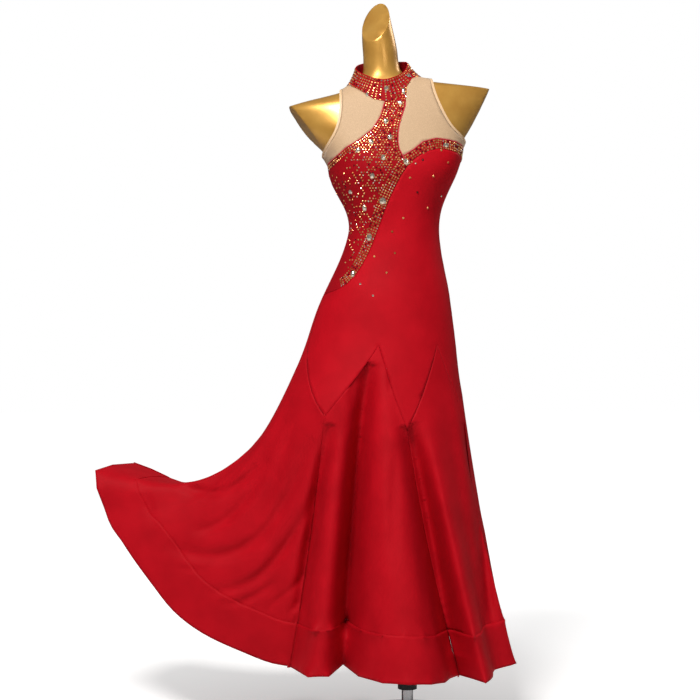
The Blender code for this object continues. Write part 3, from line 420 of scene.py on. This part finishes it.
# %% Creases on the front of the skirt
CREASES = [
    # path in (x, z) mm, width mm, depth mm: first across the sweep
    ([(-326, 542), (-350, 513), (-392, 485), (-431, 475), (-473, 481), (-539, 510)], 11.0, 10.0),
    ([(-299, 557), (-317, 522), (-350, 465), (-392, 423), (-431, 401), (-473, 397)], 11.0, 8.0),
    ([(-205, 610), (-245, 509), (-277, 445), (-317, 388), (-370, 351), (-453, 338), (-534, 366)], 15.0, 12.0),
    ([(-198, 494), (-227, 432), (-269, 362), (-317, 305), (-370, 276), (-440, 268)], 12.0, 9.0),
    ([(-284, 296), (-326, 265), (-367, 246), (-416, 246)], 9.0, 5.5),
    ([(-218, 323), (-236, 294), (-269, 265), (-313, 228)], 8.0, 4.0),
    ([(-227, 265), (-244, 240), (-262, 222)], 7.0, 3.0),
    ([(-231, 239), (-247, 200)], 7.0, 3.0),
    ([(-506, 316), (-468, 314), (-431, 316)], 8.0, 2.5),
    ([(-576, 485), (-568, 444), (-554, 404)], 9.0, 2.5),
    ([(-240, 640), (-262, 590), (-282, 552)], 9.0, 3.0),
    # small puckers below the pointed seam
    ([(-122, 733), (-122, 702), (-122, 671)], 7.0, 2.5),
    ([(-42, 750), (-42, 725), (-42, 700)], 7.0, 2.5),
    # folds down the gores
    ([(-86, 770), (-100, 640), (-116, 480), (-128, 330), (-139, 180)], 18.0, 52.0),
    ([(-4, 640), (26, 520), (54, 380), (80, 250), (98, 150)], 19.0, 54.0),
    ([(128, 640), (148, 480), (166, 330), (178, 200)], 14.0, 30.0),
    ([(-168, 640), (-190, 520), (-212, 380), (-238, 230)], 15.0, 32.0),
    ([(-30, 600), (-36, 470), (-40, 330)], 12.0, 5.0),
    ([(14, 420), (26, 330), (36, 220)], 10.0, 4.0),
]
CURVE_POINTS, ROUNDING_PASSES = 60, 30
END_FADE = 0.6  # a crease fades to nothing at both ends, and a smaller power keeps it deep for longer


def crease_lines(creases):
    """Each crease as a smooth line, how strong it is along its length, and its width and depth."""
    lines = []
    for path, wide, deep in creases:
        points = np.array(path, float) * MM + [0.0, RISE]
        keys, fine = np.linspace(0, 1, len(points)), np.linspace(0, 1, CURVE_POINTS)
        curve = np.stack([np.interp(fine, keys, points[:, k]) for k in (0, 1)], axis=1)
        for _ in range(ROUNDING_PASSES):
            curve[1:-1] = (curve[:-2] + curve[2:]) / 4 + curve[1:-1] / 2
        lines.append((curve, np.sin(math.pi * fine) ** END_FADE, wide * MM, deep * MM))
    return lines


def front_press(data):
    """Presses the creases straight back into a front sheet."""
    places = np.array([v.co for v in data.vertices])
    for curve, strength, wide, deep in crease_lines(CREASES):
        gap = np.linalg.norm(places[:, None, [0, 2]] - curve[None], axis=2)
        near = gap.argmin(axis=1)
        places[:, 1] += deep * strength[near] * np.exp(-(gap.min(axis=1) / wide) ** 2)
    data.vertices.foreach_set("co", places.ravel())
    data.update()


print("creases:", len(CREASES))

# %% [markdown]
# ## The red cloth
#
# Six gores, a stiffer band at the foot of each, the bodice and the collar. Each could be drawn by hand,
# but one function makes them all from their panels, so that every seam matches.

# %% Red cloth
FRONT_GORES = ("train_front", "front", "left_front")
for name in SKIRTS:
    press = front_press if name in FRONT_GORES else None
    cloth("skirt_" + name, JERSEY, WALL_MM, JERSEY_MM, 3, press)
    cloth("hem_band_" + name, JERSEY, WALL_MM, HEM_MM, 3, press)
for name in RED_PANELS:
    # Painted shade: the jewelled panel, the sweetheart band and the collar take the darker jersey, for the
    # shade between their crystals.
    red = JERSEY if name in ("bodice_front", "bodice_back") else SHADE_DARKENED_JERSEY
    cloth(name, red, WALL_MM, JERSEY_MM, 2)
cloth("collar", SHADE_DARKENED_JERSEY, COLLAR_WALL_MM, COLLAR_MM, 3)
print("red cloth pieces:", len(SHEETS))

# %% [markdown]
# ## The mesh yokes
#
# Skin-coloured mesh fills the shoulders and looks like bare skin. Its threads are too fine to model, so
# each yoke is a plain thin shell and its cells are in the material.

# %% Mesh yokes
for name in MESH_PANELS:
    cloth(name, NUDE, WALL_MM, MESH_MM, 2)
print("mesh yokes:", len(MESH_PANELS))

# %% [markdown]
# ## Bindings, form and stand
#
# These are whole solids, so each keeps its shape and is only smoothed. Edges that turn sharply stay sharp.

# %% Smoothed solids
SOLID_FACE_ANGLE, SOLID_SHAPE_ANGLE = 0.4, 0.9  # radians: how uneven a pair of triangles may be to join
EDGE_SHARPNESS = 0.85
FLAT_ABOVE_DEGREES = 40  # shading stays flat across an edge that turns more than this


def smoothed_solid(node, material, levels, sharp_degrees=35.0):
    """A CAD solid rounded by subdivision, with its sharp edges kept."""
    mesh = merged_copy(node)
    bmesh.ops.join_triangles(mesh, faces=mesh.faces, angle_face_threshold=SOLID_FACE_ANGLE,
                             angle_shape_threshold=SOLID_SHAPE_ANGLE)
    crease = mesh.edges.layers.float.new("crease_edge")
    for edge in mesh.edges:
        if len(edge.link_faces) == 2 and edge.calc_face_angle() > math.radians(sharp_degrees):
            edge[crease] = EDGE_SHARPNESS
    piece = to_object(mesh, node + "_smooth", material)
    if levels:
        smooth = piece.modifiers.new("Smooth", "SUBSURF")
        smooth.levels = smooth.render_levels = levels
        apply_modifiers(piece)
    piece.data.set_sharp_from_angle(angle=math.radians(FLAT_ABOVE_DEGREES))
    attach(piece, "root")
    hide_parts(node)


for side in ("right", "left"):
    smoothed_solid("armhole_binding_" + side, ELASTIC, 2, 50)
smoothed_solid("form_torso", GOLD, 1)
smoothed_solid("stand_pole", CHROME, 0)
smoothed_solid("stand_base", CHROME, 0)
smoothed_solid("stand_bush", BLACK, 0)
smoothed_solid("nape_button", JERSEY, 1, 80)
print("solids smoothed")

# %% [markdown]
# ## Crystals
#
# Small flat-backed crystals are glued on one by one: neat rows beside the seams, and between them a
# staggered net that thins out towards the hip. Hundreds of separate objects would be slow, so their
# places are gathered first and each colour is then one joined mesh.

# %% Gathering places for crystals
STONE_SIZE = 4.1 * MM
STONE_CLEARANCE = 0.72  # how near two crystals may be, as a share of their spacing
RECENT = 900  # a crystal is kept clear of this many of those placed before it


class Strewing:
    """Collects crystals, none closer than a set distance to a recent one."""

    def __init__(self):
        self.places = []

    def add(self, place, out, size, gap):
        if all((place - other).length > gap for other, _, _ in self.places[-RECENT:]):
            self.places.append((place, out, size))


def tree_of(sheet):
    """A tree for finding places on a sheet."""
    mesh = bmesh.new()
    mesh.from_mesh(sheet)
    return surface_tree(mesh)


# %% [markdown]
# ## Rows of crystals
#
# A row runs beside a seam, so the seam's own points lead it. The next row starts from the last one and
# not from the seam, which keeps the rows apart round tight bends.

# %% Rows beside a seam
ON_SHEET = 1.5 * MM  # a crystal this far off the sheet is past its edge


def border(sheet, first, last):
    """The sheet's edge between the points nearest two places, the shorter way round."""
    mesh = bmesh.new()
    mesh.from_mesh(sheet)
    mesh.verts.ensure_lookup_table()
    ways = {}
    for edge in [edge for edge in mesh.edges if edge.is_boundary]:
        a, b = edge.verts
        ways.setdefault(a.index, []).append(b.index)
        ways.setdefault(b.index, []).append(a.index)
    start = min(ways, key=lambda i: (mesh.verts[i].co - Vector(first)).length)
    end = min(ways, key=lambda i: (mesh.verts[i].co - Vector(last)).length)
    best = None
    for following in ways[start]:
        path, before = [start, following], start
        while path[-1] != end and len(path) <= len(ways):
            step = [i for i in ways[path[-1]] if i != before][0]
            before = path[-1]
            path.append(step)
        points = [mesh.verts[i].co.copy() for i in path]
        length = sum((a - b).length for a, b in zip(points, points[1:]))
        if best is None or length < best[0]:
            best = (length, points)
    mesh.free()
    return best[1]


def evenly(points, pitch):
    """Places every pitch along a line of points."""
    run = [0.0]
    for a, b in zip(points, points[1:]):
        run.append(run[-1] + (b - a).length)
    wanted = np.arange(pitch / 2, run[-1], pitch)
    return [Vector([np.interp(w, run, [p[k] for p in points]) for k in range(3)]) for w in wanted]


def rows_along(strewing, sheet, line, offsets_mm, pitch, toward):
    """Rows of crystals beside a line. Each row starts from the one before, a set way further in."""
    tree = tree_of(sheet)
    places, before = evenly(line, pitch), 0.0
    for offset in offsets_mm:
        row, gap = [], (offset - before) * MM
        for i, place in enumerate(places):
            ahead = places[min(i + 1, len(places) - 1)] - places[max(i - 1, 0)]
            _, out, _, _ = tree.find_nearest(place)
            inward = out.cross(ahead).normalized()
            if inward.dot(Vector(toward) - place) < 0:
                inward = -inward
            hit, out, _, far = tree.find_nearest(place + inward * gap)
            if far < ON_SHEET:
                row.append(hit)
                strewing.add(hit, out, STONE_SIZE, pitch * STONE_CLEARANCE)
        places, before = row, offset
        if len(places) < 3:
            return


# %% [markdown]
# ## Strewn crystals
#
# Between the rows a maker sets crystals by eye on a staggered net. A random scatter would leave bald
# spots and clumps, so this is a net too, with each crystal moved a little and fewer kept lower down.

# %% A net that thins out
ROW_SPACING = 0.87  # the rows of a staggered net, as a share of its pitch
WANDER = 0.10  # how far a crystal strays from the net, as a share of its pitch
SIZE_SPREAD = (0.85, 1.05)
TOWARD_VIEWER = -0.15  # a place on the sheet must face the front at least this much
FULL_ABOVE = 1.215 + RISE  # height above which the panel is covered all over
FULL_SHARE = 0.97
SASH_X, SASH_SLOPE, SASH_WIDTH = -0.03, 0.45, 0.10  # the thickly set sash down the panel's front edge
SASH_GAIN, THINNING = 0.62, 3.6  # how much thicker the sash is set, and how fast all thins per metre down


def strew(strewing, sheet, share, pitch):
    """A staggered net of crystals seen from the front, kept where share(x, z) says."""
    tree = tree_of(sheet)
    places = np.array([v.co for v in sheet.vertices])
    low, high = places.min(axis=0), places.max(axis=0)
    row = 0
    z = low[2]
    while z < high[2]:
        x = low[0] + (pitch / 2 if row % 2 else 0)
        while x < high[0]:
            hit, out, _, _ = tree.ray_cast(Vector((x, -1.0, z)), Vector((0, 1, 0)))
            if hit and out.y < TOWARD_VIEWER and random.random() < share(x, z):
                stray = Vector((random.uniform(-1, 1), 0, random.uniform(-1, 1))) * pitch * WANDER
                hit, out, _, _ = tree.find_nearest(hit + stray)
                strewing.add(hit, out, STONE_SIZE * random.uniform(*SIZE_SPREAD), pitch * STONE_CLEARANCE)
            x += pitch
        z += pitch * ROW_SPACING
        row += 1


def panel_share(x, z):
    """How thickly the jewelled panel is set: full at the neck and upper bust, thin towards the side."""
    below = FULL_ABOVE - z
    if below < 0:
        return FULL_SHARE
    reach = (x - SASH_X + below * SASH_SLOPE) / SASH_WIDTH
    return max(0.0, min(1.0, FULL_SHARE + reach * SASH_GAIN - below * THINNING))


# %% Crystal rows and fields
ROW_PITCH, COLLAR_PITCH, NET_PITCH = 5.8 * MM, 6.1 * MM, 6.2 * MM
HIP_ROWS, STRIP_ROWS, BAND_ROWS = (3.0, 8.8, 14.6, 20.4), (4.5, 10.3), (4.2, 9.8, 15.4, 21.0)
COLLAR_ROWS = [4.0 + 6.1 * i for i in range(14)]
V_POINT, HIP_POINT = (-0.004, -0.105, 1.209), (-0.156, -0.09, 0.946)
NECK_LEFT, NECK_RIGHT = (-0.004, -0.06, 1.356), (-0.051, -0.066, 1.347)
SIDE_POINT = (-0.17, -0.01, 1.219)
BAND_INNER, BAND_OUTER = (-0.013, -0.1, 1.231), (0.118, 0.01, 1.249)
NAPE_RIGHT, NAPE_LEFT = (-0.060, 0.058, 1.457), (-0.054, 0.058, 1.457)
COLLAR_FRONT = (-0.057, -0.06, 1.402)

small = Strewing()
panel_sheet, band_sheet, collar = (SHEETS[n] for n in ("bodice_jewelled_panel", "sweetheart_band", "collar"))
hip_edge = border(panel_sheet, V_POINT, HIP_POINT)
strip_left = border(panel_sheet, NECK_LEFT, V_POINT)
strip_right = border(panel_sheet, NECK_RIGHT, SIDE_POINT)
band_top = border(band_sheet, BAND_INNER, BAND_OUTER)
collar_top = border(collar, NAPE_RIGHT, COLLAR_FRONT) + border(collar, COLLAR_FRONT, NAPE_LEFT)[1:]
rows_along(small, panel_sheet, hip_edge, HIP_ROWS, ROW_PITCH, (-0.15, -0.08, 1.075))
rows_along(small, panel_sheet, strip_left, STRIP_ROWS, ROW_PITCH, (-0.06, -0.1, 1.285))
rows_along(small, panel_sheet, strip_right, STRIP_ROWS, ROW_PITCH, (-0.05, -0.1, 1.175))
strew(small, panel_sheet, panel_share, NET_PITCH)
rows_along(small, band_sheet, band_top, BAND_ROWS, ROW_PITCH, (0.05, -0.1, 1.125))
rows_along(small, collar, collar_top, COLLAR_ROWS, COLLAR_PITCH, (-0.06, 0.0, 1.30))
print("small crystals:", len(small.places))

# %% [markdown]
# ## Single crystals
#
# A few crystals stand alone on the plain cloth. They follow no pattern, so their places are a short list.

# %% Scattered single crystals
SINGLE_SIZE, SINGLE_GAP = 5.0 * MM, 3 * MM
SINGLES = [(69, 1220), (84, 1194), (2, 1160), (52, 1164), (71, 1125), (29, 1198), (41, 1098), (-30, 1000),
           (-74, 993), (-48, 958), (-104, 934), (-77, 909), (-150, 1151), (-112, 1063), (18, 1130),
           (-12, 1075), (-36, 1046), (96, 1150), (14, 1190)]


def scatter(strewing, spots):
    """Single crystals at (x, z) places in mm, looked up on the red cloth from the front."""
    trees = [tree_of(SHEETS[name]) for name in ("bodice_front", "bodice_jewelled_panel", "sweetheart_band")]
    for x, z in spots:
        hits = [tree.ray_cast(Vector((x * MM, -1.0, z * MM + RISE)), Vector((0, 1, 0))) for tree in trees]
        hits = [hit for hit in hits if hit[0]]
        if hits:
            hit = min(hits, key=lambda found: found[3])
            strewing.add(hit[0], hit[1], SINGLE_SIZE, SINGLE_GAP)


scatter(small, SINGLES)
print("with the single crystals:", len(small.places))

# %% [markdown]
# ## Cutting the crystals
#
# A real crystal has a girdle, a sloping crown and a flat table. With hundreds of them, each is kept to
# three rings of eight corners, enough to catch the light, and is set a little crooked as glue leaves it.

# %% Crystal meshes
GEM_PROFILE = ((0.5, 0.0), (0.5, 0.12), (0.28, 0.36))  # radius and height of each ring, for a size of 1
GEM_LIFT = 0.05 * MM
GEM_TILT = 0.10
COLOUR_SHARES = {"clear": 0.14, "gold": 0.50, "bronze": 0.24, "red": 0.12}
COLOUR_MATERIALS = {"clear": CRYSTAL, "gold": AMBER, "bronze": BRONZE, "red": SIAM}


def ring(mesh, place, across, beside, radius, sides=8):
    """A ring of corners round a place."""
    turns = [math.tau * i / sides for i in range(sides)]
    return [mesh.verts.new(place + (across * math.cos(t) + beside * math.sin(t)) * radius) for t in turns]


def join_rings(mesh, rings):
    """Faces between each ring and the next, and a cap on both ends."""
    for low, high in zip(rings, rings[1:]):
        for i in range(len(low)):
            j = (i + 1) % len(low)
            mesh.faces.new((low[i], low[j], high[j], high[i]))
    mesh.faces.new(rings[-1])
    mesh.faces.new(rings[0][::-1])


def gem(mesh, place, out, size):
    """A flat-backed crystal: girdle, sloping crown and table."""
    across = out.orthogonal().normalized()
    beside = out.cross(across).normalized()
    join_rings(mesh, [ring(mesh, place + out * (height * size + GEM_LIFT), across, beside, radius * size)
                      for radius, height in GEM_PROFILE])


def gem_piece(name, places, material):
    """One joined mesh of all the crystals of a colour."""
    mesh = bmesh.new()
    for place, out, size in places:
        tilt = Vector([random.uniform(-1, 1) for _ in range(3)]) * GEM_TILT
        gem(mesh, place, (out + tilt).normalized(), size)
    piece = to_object(mesh, name, material)
    piece.data.shade_flat()
    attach(piece, "root")


groups = {colour: [] for colour in COLOUR_SHARES}
for item in small.places:
    groups[random.choices(tuple(groups), tuple(COLOUR_SHARES.values()))[0]].append(item)
for colour, material in COLOUR_MATERIALS.items():
    gem_piece("small_crystals_" + colour, groups[colour], material)
print("small crystals by colour:", {colour: len(places) for colour, places in groups.items()})

# %% [markdown]
# ## Big crystals
#
# The big stones are sewn on and are in the CAD as plain faceted solids. Each keeps its solid, and only
# its flat table is inset and raised to a low point.

# %% Big sew-on crystals
TABLE_CORNERS = 8
TABLE_INSET, TABLE_RISE, POINT_RISE = 1.1 * MM, 0.5 * MM, 0.35 * MM
FLAT_DEGREES = 2  # triangles that turn less than this belong to one face

big_stones = [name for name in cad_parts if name.startswith("stone_")]
for node in big_stones:
    mesh = merged_copy(node)
    bmesh.ops.dissolve_limit(mesh, angle_limit=math.radians(FLAT_DEGREES), verts=mesh.verts,
                             edges=mesh.edges)
    table = [face for face in mesh.faces if len(face.verts) == TABLE_CORNERS]
    table = [min(table, key=lambda face: face.calc_area())] if table else []
    bmesh.ops.inset_individual(mesh, faces=table, thickness=TABLE_INSET, depth=TABLE_RISE)
    bmesh.ops.poke(mesh, faces=table, offset=POINT_RISE)
    piece = to_object(mesh, node + "_cut", CRYSTAL)
    piece.data.shade_flat()
    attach(piece, "root")
    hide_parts(node)
print("big crystals:", len(big_stones))

# %% [markdown]
# ## Folded edges
#
# Where red jersey meets mesh its edge is folded under, and shows as a thin raised line. A fold could be
# modelled in the panel, but a thin round strip along the seam gives the same line.

# %% Folded edges beside the mesh
FOLD_PITCH, FOLD_RADIUS = 3 * MM, 1.0 * MM


def folded_edge(name, line):
    """A thin round strip along a line of points."""
    mesh = bmesh.new()
    points = evenly(line, FOLD_PITCH)
    rings = []
    for i, point in enumerate(points):
        ahead = (points[min(i + 1, len(points) - 1)] - points[max(i - 1, 0)]).normalized()
        across = ahead.cross(Vector((0, -1, 0.01))).normalized()
        rings.append(ring(mesh, point, across, ahead.cross(across), FOLD_RADIUS))
    join_rings(mesh, rings)
    bmesh.ops.recalc_face_normals(mesh, faces=mesh.faces)
    piece = to_object(mesh, name, EDGING)
    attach(piece, "root")


folded_edge("folded_edge_strip_left", strip_left)
folded_edge("folded_edge_strip_right", strip_right)
folded_edge("folded_edge_sweetheart", band_top)
print("folded edges: 3")

# %% [markdown]
# ## Stage and light
#
# A white studio: a round floor that brightens until it meets a white background with no line, a key
# light high on the front left, a weak fill from the front right and a rim light from behind.

# %% Stage
FLOOR_RADIUS, FLOOR_DROP = 14.0, 0.5 * MM
AMBIENT = 0.13  # how strongly the white all round lights the object


def lit_paper():
    """White paper that brightens away from the middle, to meet the white background with no line."""
    material, tree, shader = new_material("White background paper")
    place = add(tree, "ShaderNodeTexCoord").outputs["Object"]
    away = add(tree, "ShaderNodeVectorMath", operation="LENGTH", Vector=place).outputs["Value"]
    glow = add(tree, "ShaderNodeMapRange", Value=away, From_Min=0.3, From_Max=2.0, To_Min=0.42, To_Max=0.9)
    seen = add(tree, "ShaderNodeLightPath").outputs["Is Camera Ray"]
    lit = add(tree, "ShaderNodeMath", operation="MULTIPLY")
    tree.links.new(glow.outputs[0], lit.inputs[0])
    tree.links.new(seen, lit.inputs[1])
    fill(tree, shader, Base_Color=rgb("#E6E4E2"), Roughness=0.9, Emission_Strength=lit.outputs[0],
         Emission_Color=rgb("#FFFFFF"))
    return material


def add_stage():
    mesh = bmesh.new()
    bmesh.ops.create_circle(mesh, cap_ends=True, segments=96, radius=FLOOR_RADIUS)
    bmesh.ops.translate(mesh, vec=(0, 0, -FLOOR_DROP), verts=mesh.verts)
    to_object(mesh, "floor", lit_paper())


def white_world():
    """White behind the object, and a dim soft light from all round."""
    world = bpy.data.worlds.new("Studio")
    world.use_nodes = True
    tree = world.node_tree
    seen = add(tree, "ShaderNodeLightPath").outputs["Is Camera Ray"]
    level = add(tree, "ShaderNodeMapRange", Value=seen, To_Min=AMBIENT, To_Max=1.0)
    fill(tree, tree.nodes["Background"], Strength=level.outputs[0], Color=(1, 1, 1, 1))
    bpy.context.scene.world = world


def add_area(name, place, aim, size, power):
    """A round area light that points at aim."""
    light = bpy.data.lights.new(name, "AREA")
    light.shape = "DISK"
    light.size = size
    light.energy = power
    lamp = bpy.data.objects.new(name, light)
    lamp.location = place
    lamp.rotation_euler = (Vector(aim) - Vector(place)).to_track_quat("-Z", "Y").to_euler()
    bpy.context.scene.collection.objects.link(lamp)


add_stage()
add_area("Key", (-0.9, -2.3, 3.5), (-0.1, 0, 0.7), 0.8, 128)
add_area("Fill", (1.6, -3.4, 1.7), (-0.1, 0, 0.9), 1.3, 13)
add_area("Rim", (1.6, 1.4, 2.6), (-0.1, 0, 1.0), 1.0, 14)
white_world()
print("lights:", len(bpy.data.lights))

# %% [markdown]
# ## Camera
#
# The camera stands level with the hips and looks very slightly down, with a long lens, as for a
# catalogue picture. Colours are shown as they are, with no film look.

# %% Camera
CAMERA_PLACE = (-0.126, -3.48, 0.854)
CAMERA_TILT = 0.0107  # radians downwards
CAMERA_LENS, CAMERA_SENSOR = 81.6, 36  # mm

scene = bpy.context.scene
scene.view_settings.view_transform = "Standard"
camera = bpy.data.objects.new("Camera", bpy.data.cameras.new("Camera"))
camera.data.lens = CAMERA_LENS
camera.data.sensor_width = CAMERA_SENSOR
camera.location = CAMERA_PLACE
camera.rotation_euler = (math.pi / 2 - CAMERA_TILT, 0, 0)
scene.collection.objects.link(camera)
scene.camera = camera
print("camera at", CAMERA_PLACE)

# %% [markdown]
# ## Finish
#
# The measured cuts are printed.

# %% Finish
for node, width, length, area in CUTS:
    print(f"{node}: {width * 100:.0f} x {length * 100:.0f} cm, {area * 1e4:.0f} cm2")
